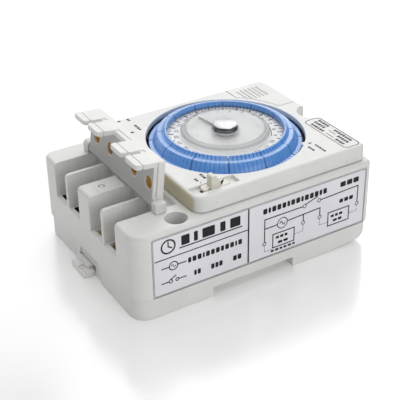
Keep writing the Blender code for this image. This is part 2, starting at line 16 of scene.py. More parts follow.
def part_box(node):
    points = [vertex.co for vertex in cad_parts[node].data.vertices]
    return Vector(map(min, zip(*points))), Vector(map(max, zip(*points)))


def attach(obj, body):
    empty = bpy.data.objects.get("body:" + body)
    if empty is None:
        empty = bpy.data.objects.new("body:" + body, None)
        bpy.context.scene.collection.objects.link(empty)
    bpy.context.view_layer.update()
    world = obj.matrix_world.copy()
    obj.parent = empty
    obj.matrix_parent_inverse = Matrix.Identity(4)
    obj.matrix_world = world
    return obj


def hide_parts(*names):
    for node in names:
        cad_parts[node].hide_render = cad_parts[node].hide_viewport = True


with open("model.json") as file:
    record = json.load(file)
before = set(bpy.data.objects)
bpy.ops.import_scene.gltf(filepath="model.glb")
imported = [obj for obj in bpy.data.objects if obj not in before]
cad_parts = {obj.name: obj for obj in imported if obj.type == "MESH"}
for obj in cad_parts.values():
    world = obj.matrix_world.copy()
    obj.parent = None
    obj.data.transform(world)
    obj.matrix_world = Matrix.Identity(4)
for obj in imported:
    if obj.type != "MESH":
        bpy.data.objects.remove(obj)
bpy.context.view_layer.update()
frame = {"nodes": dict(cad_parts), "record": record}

MM = 0.001


def node_box(node):
    """Lowest and highest corner of a CAD node, in millimetres from the housing's middle."""
    low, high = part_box(node)
    return Vector(low) / MM - SHIFT, Vector(high) / MM - SHIFT


housing_low, housing_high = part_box("housing")
SHIFT = Vector(((housing_low[0] + housing_high[0]) / 2 / MM, 0, 0))
TO_FRAME = Matrix.Scale(MM, 4) @ Matrix.Translation(SHIFT)

FRONT_LOW, FRONT_HIGH = node_box("front_cover")
FACE_LOW, FACE_HIGH = node_box("dial_face")
LABEL_LOW, LABEL_HIGH = node_box("nameplate")
DIAL = Vector(((FACE_LOW.x + FACE_HIGH.x) / 2, (FACE_LOW.y + FACE_HIGH.y) / 2, 0))
TOP_Z = FRONT_HIGH.z
LEDGE_Z = node_box("housing")[1].z
DISC_Z = node_box("minute_disc")[1].z
INK = 0.03
LABEL_FACE = LABEL_LOW.y + 2 * INK

# Wire entries, the open terminal cover and the rail latch
SLOT_Y = (22.15, 11.05, -7.65, -18.75)
SLOT_HALF = 4.75
GROOVE_X = (-46.4, -44.2, -42.0, -39.9, -38.2)
HINGE = (-35.5, 38.3)
LEAN = math.radians(6)
BORE_UP = 7.2
BORE_R = 2.6
LATCH_EDGE = 9.8

# Dial, setting pins and clear disc
WELL_R = 31.2
TICK_R = 22.4
PINS = 96
BANKS = 12
PIN_GAP = 0.045
PIN_CHAMFER = 0.12
BANK_GAP = 0.28
RIB = 0.14
RIB_DROP = 0.12
DISC_MARKS = 120
HAND_TOP = 43.95
HAND_DEGREES = 98

# Mesh cleaning and edge rounding
MERGE = 0.002
FLAT = math.radians(0.7)
EDGE_ROOM = 0.4
BEVEL_STEPS = 3


# Materials


class Finish:
    """A node material that is put together step by step."""

    def __init__(self, name, colour, roughness, metallic=0.0):
        self.material = bpy.data.materials.new(name)
        self.material.use_nodes = True
        self.tree = self.material.node_tree
        self.shader = self.tree.nodes["Principled BSDF"]
        self.colour = colour
        self.shader.inputs["Base Color"].default_value = (*colour, 1.0)
        self.shader.inputs["Roughness"].default_value = roughness
        self.shader.inputs["Metallic"].default_value = metallic
        self.place = self.tree.nodes.new("ShaderNodeTexCoord").outputs["Object"]
        self.height = None

    def node(self, kind, **values):
        node = self.tree.nodes.new(kind)
        for name, value in values.items():
            setattr(node, name, value)
        return node

    def link(self, output, node, name):
        self.tree.links.new(output, node.inputs[name])

    def noise(self, size, detail=3.0, stretch=(1, 1, 1), distortion=0.0):
        """Noise whose grains are about size millimetres across."""
        mapping = self.node("ShaderNodeMapping")
        mapping.inputs["Scale"].default_value = stretch
        self.link(self.place, mapping, "Vector")
        noise = self.node("ShaderNodeTexNoise")
        noise.inputs["Scale"].default_value = 1 / (size * MM)
        noise.inputs["Detail"].default_value = detail
        noise.inputs["Distortion"].default_value = distortion
        self.link(mapping.outputs["Vector"], noise, "Vector")
        return noise.outputs["Fac"]

    def spread(self, value, low, high, start=0.3, end=0.7):
        """Maps a value between start and end to the range from low to high."""
        ramp = self.node("ShaderNodeMapRange")
        ramp.inputs["From Min"].default_value = start
        ramp.inputs["From Max"].default_value = end
        ramp.inputs["To Min"].default_value = low
        ramp.inputs["To Max"].default_value = high
        self.link(value, ramp, "Value")
        return ramp.outputs["Result"]

    def tint(self, factor, other):
        """Mixes another colour in where the factor is high."""
        mix = self.node("ShaderNodeMix", data_type="RGBA")
        socket = self.shader.inputs["Base Color"]
        if socket.is_linked:
            self.link(socket.links[0].from_socket, mix, "A")
        else:
            mix.inputs["A"].default_value = (*self.colour, 1.0)
        mix.inputs["B"].default_value = (*other, 1.0)
        self.link(factor, mix, "Factor")
        self.link(mix.outputs["Result"], self.shader, "Base Color")

    def rough(self, value):
        self.link(value, self.shader, "Roughness")

    def bump(self, value, depth):
        """Relief of the given depth in millimetres."""
        bump = self.node("ShaderNodeBump")
        bump.inputs["Strength"].default_value = 1.0
        bump.inputs["Distance"].default_value = depth * MM
        self.link(value, bump, "Height")
        if self.height is not None:
            self.link(self.height, bump, "Normal")
        self.height = bump.outputs["Normal"]
        self.link(self.height, self.shader, "Normal")

    def part(self, axis):
        """One of the object's coordinates, in metres."""
        split = self.node("ShaderNodeSeparateXYZ")
        self.link(self.place, split, "Vector")
        return split.outputs[axis]

    def maths(self, operation, a, b=0.0):
        node = self.node("ShaderNodeMath", operation=operation)
        for socket, value in zip(node.inputs, (a, b)):
            if isinstance(value, (int, float)):
                socket.default_value = value
            else:
                self.tree.links.new(value, socket)
        return node.outputs["Value"]

    def radius(self, centre):
        """Distance from an upright axis, in millimetres."""
        x = self.maths("SUBTRACT", self.part("X"), (centre.x + SHIFT.x) * MM)
        y = self.maths("SUBTRACT", self.part("Y"), centre.y * MM)
        square = self.maths("ADD", self.maths("MULTIPLY", x, x), self.maths("MULTIPLY", y, y))
        return self.maths("MULTIPLY", self.maths("SQRT", square), 1 / MM)


def scaled(colour, factor):
    return tuple(channel * factor for channel in colour)


def plastic(name, colour, roughness, coat=0.0):
    """Moulded plastic: a fine spark-eroded grain, flow marks and slight handling gloss."""
    finish = Finish(name, colour, roughness)
    finish.tint(finish.spread(finish.noise(14, 4), 0.0, 1.0), scaled(colour, 0.955))
    finish.tint(finish.spread(finish.noise(1.6, 2), 0.0, 0.5, 0.55, 0.8), scaled(colour, 1.03))
    marks = finish.noise(5, 5, stretch=(1, 1, 3), distortion=0.4)
    finish.rough(finish.spread(marks, roughness - 0.05, roughness + 0.08))
    finish.bump(finish.noise(0.25, 2), 0.006)
    finish.bump(finish.noise(9, 2), 0.03)
    finish.shader.inputs["Coat Weight"].default_value = coat
    finish.shader.inputs["Coat Roughness"].default_value = 0.15
    return finish


def plastic_with_painted_glow(name, colour, x):
    """Case plastic, with a painted cream glow on the wall that faces the terminals."""
    finish = plastic(name, colour, 0.36)
    # Painted light: a cream tint near the wall's plane stands in for warm light falling on that
    # wall.
    depth = finish.maths("SUBTRACT", finish.part("X"), (x + SHIFT.x) * MM)
    wall = finish.spread(depth, 0.9, 0.0, 0.3 * MM, 1.0 * MM)
    finish.tint(wall, (0.56, 0.51, 0.34))
    return finish


def bored_plastic(name, colour):
    """The cover's plastic: painted shade on its face under the fingers and round the bores, and a
    painted ochre glow deep in the bores.
    """
    finish = plastic(name, colour, 0.36)
    across = finish.maths("SUBTRACT", finish.part("X"), (HINGE[0] + SHIFT.x) * MM)
    upward = finish.maths("SUBTRACT", finish.part("Z"), HINGE[1] * MM)
    tilt = (math.cos(LEAN), math.sin(LEAN))
    out = finish.maths("SUBTRACT", finish.maths("MULTIPLY", across, tilt[0]),
                       finish.maths("MULTIPLY", upward, tilt[1]))
    along = finish.maths("ADD", finish.maths("MULTIPLY", across, tilt[1]),
                         finish.maths("MULTIPLY", upward, tilt[0]))
    # Painted shade: the flat face under the overhanging fingers is darkened where their shade
    # falls.
    painted_shade = finish.maths("MULTIPLY", finish.spread(out, 0.55, 0.0, -1.4 * MM, -1.0 * MM),
                          finish.spread(along, 1.0, 0.0, 13.9 * MM, 14.3 * MM))
    finish.tint(painted_shade, (0.25, 0.25, 0.245))
    for y in SLOT_Y:
        side = finish.maths("SUBTRACT", finish.part("Y"), (y - 1.0) * MM)
        rise = finish.maths("SUBTRACT", along, BORE_UP * MM)
        away = finish.maths("SQRT", finish.maths("ADD", finish.maths("MULTIPLY", side, side),
                                                 finish.maths("MULTIPLY", rise, rise)))
        # Painted shade: the bore walls near the face and a thin ring round each bore are made
        # slightly darker.
        rim = finish.spread(away, 1.0, 0.0, (BORE_R + 0.15) * MM, (BORE_R + 0.3) * MM)
        finish.tint(rim, scaled(colour, 0.9))
        # Painted light: deep in each bore the wall is made ochre, standing in for the warm-lit wall
        # seen through it.
        bore = finish.spread(away, 1.0, 0.0, (BORE_R - 0.07) * MM, BORE_R * MM)
        painted_bore_glow = finish.maths("MULTIPLY", bore, finish.spread(out, 0.0, 1.0, -1.1 * MM, -0.7 * MM))
        finish.tint(painted_bore_glow, (0.72, 0.47, 0.14))
    return finish


def metal(name, colour, roughness, stretch=(1, 1, 1), depth=0.004):
    """Rolled or turned metal: fine lines, faint stains and uneven polish."""
    finish = Finish(name, colour, roughness, 1.0)
    finish.tint(finish.spread(finish.noise(4, 4), 0.0, 1.0, 0.35, 0.75), scaled(colour, 0.8))
    lines = finish.noise(0.35, 4, stretch=stretch)
    finish.rough(finish.spread(lines, roughness - 0.08, roughness + 0.1))
    finish.bump(lines, depth)
    return finish


def shrink_sleeve(name, colour):
    finish = Finish(name, colour, 0.35)
    finish.tint(finish.spread(finish.noise(2.5, 3), 0.0, 1.0), scaled(colour, 0.75))
    wrinkles = finish.noise(1.2, 3, stretch=(1, 0.3, 1))
    finish.rough(finish.spread(wrinkles, 0.28, 0.42))
    finish.bump(wrinkles, 0.02)
    return finish


def resist(name, colour):
    """Solder resist over copper tracks."""
    finish = Finish(name, colour, 0.4)
    tracks = finish.noise(3, 0, stretch=(1, 0.25, 1))
    finish.tint(finish.spread(tracks, 0.0, 1.0, 0.48, 0.52), (0.08, 0.34, 0.14))
    finish.rough(finish.spread(tracks, 0.3, 0.45))
    finish.bump(finish.spread(tracks, 0.0, 1.0, 0.48, 0.52), 0.03)
    return finish


def foil(name, colour):
    """Printed foil: a faint brushed grain along the label, under a satin varnish."""
    finish = Finish(name, colour, 0.34, 0.12)
    grain = finish.noise(0.5, 4, stretch=(0.06, 1, 1))
    finish.tint(finish.spread(grain, 0.0, 1.0), scaled(colour, 0.95))
    finish.tint(finish.spread(finish.noise(22, 2), 0.0, 1.0), scaled(colour, 1.04))
    finish.rough(finish.spread(grain, 0.28, 0.42))
    finish.bump(grain, 0.003)
    return finish


def printed_ink(name, colour):
    """Screen print: thin in places, with a slightly uneven gloss."""
    finish = Finish(name, colour, 0.45)
    finish.shader.inputs["Specular IOR Level"].default_value = 0.2
    finish.tint(finish.spread(finish.noise(0.35, 3), 0.0, 1.0), scaled(colour, 1.9))
    finish.rough(finish.spread(finish.noise(0.8, 2), 0.38, 0.55))
    finish.bump(finish.noise(0.12, 2), 0.002)
    return finish


def blue_plastic(name, colour):
    """Glossy blue plastic, with painted highlights: paler along the flange, step and lip."""
    finish = plastic(name, colour, 0.28, coat=0.35)
    distance = finish.radius(DIAL)
    # Painted highlights: narrow rings of paler blue at the flange, step and lip, where their edges
    # catch the light.
    for crest, reach, highlight_strength in ((29.3, 0.9, 0.55), (25.7, 1.0, 0.6), (23.35, 0.45, 0.7)):
        off = finish.maths("ABSOLUTE", finish.maths("SUBTRACT", distance, crest))
        finish.tint(finish.spread(off, highlight_strength, 0.0, 0.6 * reach, reach), (0.42, 0.58, 0.90))
    return finish


def clear_plastic(name):
    """Clear acrylic with a light haze, fine scratches and a polished face."""
    finish = Finish(name, (0.88, 0.89, 0.89), 0.1)
    scratches = finish.noise(1.0, 5, stretch=(1, 0.15, 1))
    finish.tint(finish.spread(finish.noise(6, 3), 0.0, 1.0), (0.82, 0.83, 0.84))
    finish.rough(finish.spread(scratches, 0.05, 0.16))
    finish.bump(scratches, 0.0006)
    finish.shader.inputs["Specular IOR Level"].default_value = 0.35
    finish.shader.inputs["Alpha"].default_value = 0.2
    finish.shader.inputs["IOR"].default_value = 1.49
    return finish


def knob_chrome(name):
    """Chrome over a lathe-turned knob: fine rings that widen the highlights, and painted dark bands
    of reflection and shadow.
    """
    finish = Finish(name, (0.42, 0.42, 0.43), 0.16, 1.0)
    rings = finish.maths("SINE", finish.maths("MULTIPLY", finish.radius(DIAL), 34.0))
    finish.tint(finish.spread(finish.noise(2.5, 3), 0.0, 1.0), (0.37, 0.37, 0.385))
    # Painted dark bands: a painted reflection on the head's side and a painted shadow line above
    # the foot.
    for level, reach in ((46.6, 0.42), (45.65, 0.14)):
        off = finish.maths("ABSOLUTE", finish.maths("SUBTRACT", finish.part("Z"), level * MM))
        finish.tint(finish.spread(off, 0.85, 0.0, 0.7 * reach * MM, reach * MM), (0.05, 0.05, 0.05))
    finish.rough(finish.spread(finish.noise(0.7, 3), 0.08, 0.2))
    finish.bump(rings, 0.004)
    return finish


WHITE = (0.80, 0.80, 0.785)
FINISHES = {
    "case_white": plastic("case_white", WHITE, 0.36),
    "cover_white": bored_plastic("cover_white", (0.82, 0.82, 0.80)),
    "ivory": plastic("ivory", (0.77, 0.745, 0.65), 0.36),
    "latch_white": plastic("latch_white", (0.84, 0.83, 0.82), 0.42),
    "pin_blue": blue_plastic("pin_blue", (0.12, 0.33, 0.78)),
    "dial_white": plastic("dial_white", (0.86, 0.86, 0.85), 0.42),
    "black": printed_ink("black", (0.009, 0.009, 0.011)),
    "phenolic": plastic("phenolic", (0.06, 0.045, 0.04), 0.45),
    "steel": metal("steel", (0.62, 0.62, 0.63), 0.32, stretch=(0.2, 1, 1)),
    "brass": metal("brass", (0.74, 0.56, 0.25), 0.28, stretch=(0.2, 1, 1)),
    "copper": metal("copper", (0.80, 0.44, 0.28), 0.3, stretch=(0.2, 1, 1)),
    "chrome": knob_chrome("chrome"),
    "clear": clear_plastic("clear"),
    "board_green": resist("board_green", (0.03, 0.2, 0.08)),
    "cell_green": shrink_sleeve("cell_green", (0.10, 0.38, 0.17)),
    "label_silver": foil("label_silver", (0.80, 0.80, 0.845)),
}
FRONT_WHITE = plastic_with_painted_glow("front_white", WHITE, FRONT_LOW.x)
GREY_INK = printed_ink("grey_ink", (0.13, 0.13, 0.135))
PALE_INK = printed_ink("pale_ink", (0.30, 0.30, 0.30))


# Shapes, in millimetres


def loft(rings, closed=False):
    """Joins rings of equal length; open ends are capped, closed ones meet."""
    bm = bmesh.new()
    rows = [[bm.verts.new(point) for point in ring] for ring in rings]
    pairs = list(zip(rows, rows[1:]))
    if closed:
        pairs.append((rows[-1], rows[0]))
    else:
        bm.faces.new(rows[0])
        bm.faces.new(rows[-1])
    for low, high in pairs:
        for i, corner in enumerate(low):
            j = (i + 1) % len(low)
            bm.faces.new((corner, low[j], high[j], high[i]))
    bmesh.ops.recalc_face_normals(bm, faces=bm.faces)
    return bm


def box(x0, x1, y0, y1, z0, z1):
    corners = [(x0, y0), (x1, y0), (x1, y1), (x0, y1)]
    return loft([[(x, y, z) for x, y in corners] for z in (z0, z1)])


def circle(centre, radius, count):
    angles = [2 * math.pi * i / count for i in range(count)]
    return [(centre.x + radius * math.cos(a), centre.y + radius * math.sin(a)) for a in angles]


def turned(profile, centre, count=96, bored=False):
    """A profile of (radius, height) points turned about an upright axis."""
    rings = [[(x, y, height) for x, y in circle(centre, radius, count)]
             for radius, height in profile]
    return loft(rings, closed=bored)


def rounded(x0, x1, y0, y1, radius, steps=6):
    """A rectangle with round corners, anticlockwise from the +x +y one."""
    points = []
    for turn, (sx, sy) in enumerate(((1, 1), (-1, 1), (-1, -1), (1, -1))):
        cx = (x1 - radius) if sx > 0 else (x0 + radius)
        cy = (y1 - radius) if sy > 0 else (y0 + radius)
        for step in range(steps + 1):
            angle = math.pi / 2 * (turn + step / steps)
            points.append((cx + radius * math.cos(angle), cy + radius * math.sin(angle)))
    return points


def joined(parts):
    """Several loose meshes as one."""
    whole = bmesh.new()
    for part in parts:
        mesh = bpy.data.meshes.new("part")
        part.to_mesh(mesh)
        part.free()
        whole.from_mesh(mesh)
        bpy.data.meshes.remove(mesh)
    return whole


# Pieces


def make(name, bm, finish, body, replaces=(), bevel=0.0, crease=30, softer=()):
    """Makes a piece of a mesh in millimetres and puts it on its body."""
    if bevel:
        widest = weigh_edges(bm, bevel, crease, softer)
    bm.transform(TO_FRAME)
    mesh = bpy.data.meshes.new(name)
    bm.to_mesh(mesh)
    bm.free()
    mesh.materials.append(finish.material)
    piece = bpy.data.objects.new(name, mesh)
    bpy.context.scene.collection.objects.link(piece)
    mesh.shade_smooth()
    if bevel:
        add_bevel(piece, widest)
    else:
        mesh.set_sharp_from_angle(angle=math.radians(crease))
    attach(piece, body)
    if replaces:
        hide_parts(*replaces)
    return piece


def weigh_edges(bm, width, crease, softer):
    """Marks the sharp edges for rounding, wider inside the softer boxes.

    An edge gets no more than the room its neighbours leave it.
    """
    layer = bm.edges.layers.float.new("bevel_weight_edge")
    widest = max([width] + [extra for low, high, extra in softer])
    for edge in bm.edges:
        if len(edge.link_faces) != 2 or edge.calc_face_angle(0.0) < math.radians(crease):
            continue
        room = min(other.calc_length() for vert in edge.verts for other in vert.link_edges)
        middle = (edge.verts[0].co + edge.verts[1].co) / 2
        wanted = width
        for low, high, extra in softer:
            if all(low[i] <= middle[i] <= high[i] for i in range(3)):
                wanted = extra
        edge[layer] = min(wanted, EDGE_ROOM * room) / widest
    return widest


def add_bevel(piece, width):
    bevel = piece.modifiers.new("edges", "BEVEL")
    bevel.width = width * MM
    bevel.segments = BEVEL_STEPS
    bevel.limit_method = "WEIGHT"
    bevel.use_clamp_overlap = False
    bevel.miter_outer = "MITER_ARC"
    shading = piece.modifiers.new("shading", "WEIGHTED_NORMAL")
    shading.mode = "FACE_AREA"
    shading.weight = 100


def clean_copy(node):
    """A CAD node's mesh as whole flat faces, in millimetres from the housing's middle."""
    bm = bmesh.new()
    bm.from_mesh(frame["nodes"][node].data)
    bm.transform(TO_FRAME.inverted())
    bmesh.ops.remove_doubles(bm, verts=bm.verts, dist=MERGE)
    bmesh.ops.dissolve_degenerate(bm, edges=bm.edges, dist=MERGE)
    bmesh.ops.dissolve_limit(bm, angle_limit=FLAT, verts=bm.verts, edges=bm.edges)
    bmesh.ops.recalc_face_normals(bm, faces=bm.faces)
    return bm


def carve(bm, tools, operation="DIFFERENCE"):
    """Cuts tools out of a mesh, or adds them to it, with exact Booleans."""
    mesh = bpy.data.meshes.new("block")
    bm.to_mesh(mesh)
    bm.free()
    block = bpy.data.objects.new("block", mesh)
    bpy.context.scene.collection.objects.link(block)
    helpers = []
    for tool in tools:
        cutter_mesh = bpy.data.meshes.new("cutter")
        tool.to_mesh(cutter_mesh)
        tool.free()
        cutter = bpy.data.objects.new("cutter", cutter_mesh)
        bpy.context.scene.collection.objects.link(cutter)
        helpers.append(cutter)
        modifier = block.modifiers.new("cut", "BOOLEAN")
        modifier.operation = operation
        modifier.solver = "EXACT"
        modifier.object = cutter
    bpy.context.view_layer.update()
    graph = bpy.context.evaluated_depsgraph_get()
    result = bmesh.new()
    result.from_object(block, graph)
    for thing in (block, *helpers):
        bpy.data.objects.remove(thing)
    bmesh.ops.remove_doubles(result, verts=result.verts, dist=MERGE)
    bmesh.ops.dissolve_limit(result, angle_limit=FLAT, verts=result.verts, edges=result.edges)
    return result


def shell(node, body, finish, bevel, cuts=(), extras=(), softer=()):
    """A CAD node's shape with rounded edges and its finer detail."""
    bm = clean_copy(node)
    if cuts:
        bm = carve(bm, cuts)
    if extras:
        bm = carve(bm, extras, "UNION")
    make(f"{node}_shell", bm, finish, body, (node,), bevel, softer=softer)


# Print: thin closed strokes on a plane


class Print:
    """Strokes and numerals on a plane, gathered in one piece."""

    def __init__(self, place):
        self.place = place
        self.parts = []

    def patch(self, outline):
        self.parts.append(loft([[self.place(u, v, h) for u, v in outline] for h in (0.0, INK)]))

    def line(self, start, end, width):
        a, b = Vector(start), Vector(end)
        along = (b - a).normalized() * (width / 2)
        side = Vector((-along.y, along.x))
        a = a - along
        b = b + along
        self.patch([tuple(p) for p in (a - side, b - side, b + side, a + side)])

    def path(self, points, width):
        for start, end in zip(points, points[1:]):
            self.line(start, end, width)

    def dots(self, points, width, step=1.0):
        """A dotted line through the points."""
        for start, end in zip(points, points[1:]):
            a, b = Vector(start), Vector(end)
            count = max(1, round((b - a).length / step))
            for i in range(count):
                middle = a + (b - a) * ((i + 0.5) / count)
                half = (b - a).normalized() * (step * 0.15)
                self.line(tuple(middle - half), tuple(middle + half), width)

    def ring(self, centre, radius, width, start=0.0, end=360.0, count=40):
        """A round line, or an arc of it, as closed quads."""
        a, b = math.radians(start), math.radians(end)
        whole = abs(end - start) >= 360
        steps = count if whole else max(3, round(count * abs(end - start) / 360))
        edge = []
        for i in range(steps if whole else steps + 1):
            angle = a + (b - a) * i / steps
            edge.append((math.cos(angle), math.sin(angle)))
        sections = []
        for c, s in edge:
            inner = (centre[0] + (radius - width / 2) * c, centre[1] + (radius - width / 2) * s)
            outer = (centre[0] + (radius + width / 2) * c, centre[1] + (radius + width / 2) * s)
            sections.append([self.place(*inner, 0.0), self.place(*outer, 0.0),
                             self.place(*outer, INK), self.place(*inner, INK)])
        self.parts.append(loft(sections, closed=whole))

    def numeral(self, text, height, centre, turn):
        """A numeral, upright along the turn angle in degrees."""
        curve = bpy.data.curves.new("numeral", "FONT")
        curve.body = text
        curve.size = height / 0.7
        curve.align_x = "CENTER"
        curve.align_y = "CENTER"
        curve.resolution_u = 2
        holder = bpy.data.objects.new("numeral", curve)
        bpy.context.scene.collection.objects.link(holder)
        bpy.context.view_layer.update()
        mesh = bpy.data.meshes.new_from_object(holder.evaluated_get(
            bpy.context.evaluated_depsgraph_get()))
        flat = bmesh.new()
        flat.from_mesh(mesh)
        bpy.data.objects.remove(holder)
        bpy.data.curves.remove(curve)
        bpy.data.meshes.remove(mesh)
        spin = Matrix.Rotation(math.radians(turn), 2)
        body = bmesh.ops.extrude_face_region(flat, geom=flat.faces[:])
        raised = {v for v in body["geom"] if isinstance(v, bmesh.types.BMVert)}
        for vert in flat.verts:
            spot = spin @ Vector(vert.co.xy)
            height_here = INK if vert in raised else 0.0
            vert.co = self.place(centre[0] + spot.x, centre[1] + spot.y, height_here)
        bmesh.ops.recalc_face_normals(flat, faces=flat.faces)
        self.parts.append(flat)

    def piece(self, name, finish, body, slot):
        return make(name, joined(self.parts), finish, body)


def on_label(u, v, h):
    return (u, LABEL_FACE - h, v)


def on_front(u, v, h):
    return (u, v, TOP_Z + h)


def on_dial(u, v, h):
    return (u, v, FACE_HIGH.z + h)


def on_disc(u, v, h):
    return (u, v, DISC_Z + h)


def bars(ink, start, end, middle, height, widths, gap=0.55):
    """A row of plain bars, where the object has small print."""
    x = start
    turn = 0
    while x + widths[turn % len(widths)] <= end + 0.01:
        width = widths[turn % len(widths)]
        ink.patch(rounded(x, x + width, middle - height / 2, middle + height / 2, height * 0.2, 3))
        x += width + gap
        turn += 1


def upright_bars(ink, x, start, end, height):
    """A column of plain bars running down -Y."""
    widths = (1.0, 0.8, 1.2, 0.9, 1.1)
    y = start
    turn = 0
    while y - widths[turn % len(widths)] >= end - 0.01:
        width = widths[turn % len(widths)]
        ink.patch(rounded(x - height / 2, x + height / 2, y - width, y, 0.2, 2))
        y -= width + 0.35
        turn += 1


def circuit_print():
    """A generic wiring diagram: supply, motor, switch and load."""
    ink = Print(on_label)
    thin, line = 0.32, 0.45
    ink.path([(2.0, 16.2), (2.0, 26.0), (19.2, 26.0)], line)
    ink.ring((20.1, 26.0), 0.75, 0.3)
    ink.line((20.7, 26.6), (25.9, 28.2), line)
    ink.ring((26.9, 26.3), 0.75, 0.3)
    ink.path([(27.8, 26.3), (45.6, 26.9), (45.6, 19.6)], line)
    ink.line((2.0, 21.9), (7.6, 22.0), line)
    ink.ring((10.0, 22.1), 2.25, 0.34, count=48)
    ink.path([(12.3, 22.2), (27.5, 22.8), (27.5, 19.4)], line)
    ink.line((19.7, 22.5), (19.7, 19.6), line)
    for x, z in ((2.0, 15.4), (19.7, 18.8), (27.5, 18.6), (45.6, 18.8)):
        ink.ring((x, z), 0.72, 0.3)
    wave = [(8.8 + 0.2 * i, 22.1 + 0.8 * math.sin(math.pi * i / 6)) for i in range(13)]
    ink.path(wave, thin)
    for x0, x1, z0, z1 in ((5.8, 15.6, 12.3, 18.2), (31.6, 41.7, 13.0, 19.0)):
        ink.path([(x0, z0), (x1, z0), (x1, z1), (x0, z1), (x0, z0)], line)
    for route in (
        [(2.0, 14.6), (2.0, 11.8), (5.6, 11.8)],
        [(15.8, 15.0), (19.7, 15.0), (19.7, 18.0)],
        [(27.5, 17.8), (27.5, 14.9), (31.4, 14.9)],
        [(41.9, 15.6), (45.6, 15.6), (45.6, 18.0)],
    ):
        ink.dots(route, 0.24)
    for start, end, middle, height, widths in (
        (7.2, 14.2, 16.4, 1.1, (1.4, 1.5, 1.3, 1.6)),
        (8.2, 13.4, 14.0, 1.1, (2.0,)),
        (33.0, 40.2, 17.0, 1.1, (1.5, 1.4, 1.6)),
        (34.2, 39.2, 14.8, 1.1, (1.8,)),
        (1.2, 32.6, 29.6, 2.3, (1.8, 1.1, 1.8, 1.7, 1.7, 1.2, 1.7)),
        (36.8, 47.6, 29.9, 2.2, (2.6,)),
        (36.8, 44.4, 22.6, 1.7, (1.8, 1.9, 1.8)),
        (5.0, 16.2, 11.0, 0.9, (1.4, 1.6, 1.2)),
    ):
        bars(ink, start, end, middle, height, widths)
    ink.piece("circuit_print", FINISHES["black"], "root", "black")


def rating_print():
    """Left of the label: a clock with a programme of bars, and the motor and switch symbols."""
    ink = Print(on_label)
    line = 0.45
    ink.line((-5.2, 10.0), (-5.2, 33.0), 0.62)
    ink.line((-44.3, 24.3), (-5.4, 24.3), 0.4)
    ink.ring((-38.9, 29.1), 2.7, 0.62, count=56)
    ink.path([(-38.9, 31.0), (-38.9, 29.1), (-37.6, 28.3)], 0.5)
    ink.path([(-34.2, 26.9), (-8.2, 26.9)], 0.5)
    for start, width in ((-33.6, 3.4), (-28.4, 1.6), (-24.9, 5.2), (-17.4, 2.2), (-13.2, 4.4)):
        ink.patch(rounded(start, start + width, 27.7, 31.7, 0.35, 3))
    ink.line((-41.6, 20.4), (-38.9, 20.4), line)
    ink.ring((-37.0, 20.4), 1.72, 0.42, count=48)
    wave = [(-37.9 + 0.15 * i, 20.4 + 0.62 * math.sin(math.pi * i / 6)) for i in range(13)]
    ink.path(wave, 0.26)
    ink.line((-35.1, 20.4), (-32.0, 20.4), line)
    ink.line((-41.9, 14.1), (-39.2, 14.1), line)
    ink.ring((-38.3, 14.1), 0.68, 0.36)
    ink.line((-38.5, 14.8), (-36.2, 16.0), line)
    ink.ring((-35.6, 14.1), 0.62, 0.36)
    ink.line((-34.8, 14.1), (-32.1, 14.1), line)
    bars(ink, -31.0, -6.6, 20.4, 2.2, (1.3, 1.6, 1.6, 0.8, 1.6, 1.5, 1.6))
    bars(ink, -28.6, -24.2, 14.1, 2.2, (1.1, 1.3, 1.5), 0.4)
    bars(ink, -21.4, -15.0, 14.1, 2.2, (1.4, 1.3, 1.4), 0.4)
    bars(ink, -11.9, -8.2, 14.1, 2.2, (1.6, 1.6), 0.4)
    ink.piece("rating_print", FINISHES["black"], "root", "black")


def label():
    outline = rounded(LABEL_LOW.x, LABEL_HIGH.x, LABEL_LOW.z, LABEL_HIGH.z, 0.8)
    rings = [[(u, y, v) for u, v in outline] for y in (LABEL_FACE, LABEL_HIGH.y)]
    make("label_foil", loft(rings), FINISHES["label_silver"], "root",
         ("nameplate",), 0.04)
    edge = Print(on_label)
    frame_line = rounded(LABEL_LOW.x + 0.25, LABEL_HIGH.x - 0.25,
                         LABEL_LOW.z + 0.25, LABEL_HIGH.z - 0.25, 0.7)
    edge.path(frame_line + frame_line[:1], 0.16)
    edge.piece("label_edge", GREY_INK, "root", "black")
    circuit_print()
    rating_print()


def front_print():
    """On the raised cover: a framed list, a triangle and columns of small print as bars."""
    ink = Print(on_front)
    outline = rounded(41.4, 48.7, -33.6, -7.2, 1.9)
    ink.path(outline + outline[:1], 0.32)
    ink.patch([(32.0, -22.3), (33.6, -22.9), (32.2, -23.6)])
    for x, start, end in ((43.0, -10.2, -18.2), (45.2, -9.4, -17.0), (47.2, -9.4, -16.0),
                          (43.0, -25.6, -31.4), (45.2, -24.0, -30.6), (47.2, -19.4, -30.0)):
        upright_bars(ink, x, start, end, 1.25)
    ink.line((43.0, -19.6), (43.0, -24.0), 0.3)
    ink.line((45.2, -18.6), (45.2, -22.4), 0.3)
    ink.piece("front_print", FINISHES["black"], "root", "black")
    small = Print(on_front)
    for x, start, end, height in ((30.4, -24.9, -28.6, 1.0), (33.6, -25.0, -32.2, 1.0),
                                  (-18.6, -22.2, -24.8, 1.0), (-15.2, -20.4, -24.6, 1.1),
                                  (-16.6, 33.6, 30.2, 1.1), (-16.6, 27.2, 21.6, 1.1)):
        upright_bars(small, x, start, end, height)
    small.line((-18.0, -25.2), (-18.4, -26.3), 0.2)
    small.piece("front_small_print", FINISHES["black"], "root", "black")
    marks = Print(on_front)
    for low, high in ((33.0, 33.9), (21.6, 22.6)):
        marks.patch(rounded(-21.3, -19.7, low, high, 0.3, 3))
    marks.piece("front_marks", FINISHES["black"], "root", "black")


# Dial


def polar(radius, degrees):
    angle = math.radians(degrees)
    return (DIAL.x + radius * math.cos(angle), DIAL.y + radius * math.sin(angle))


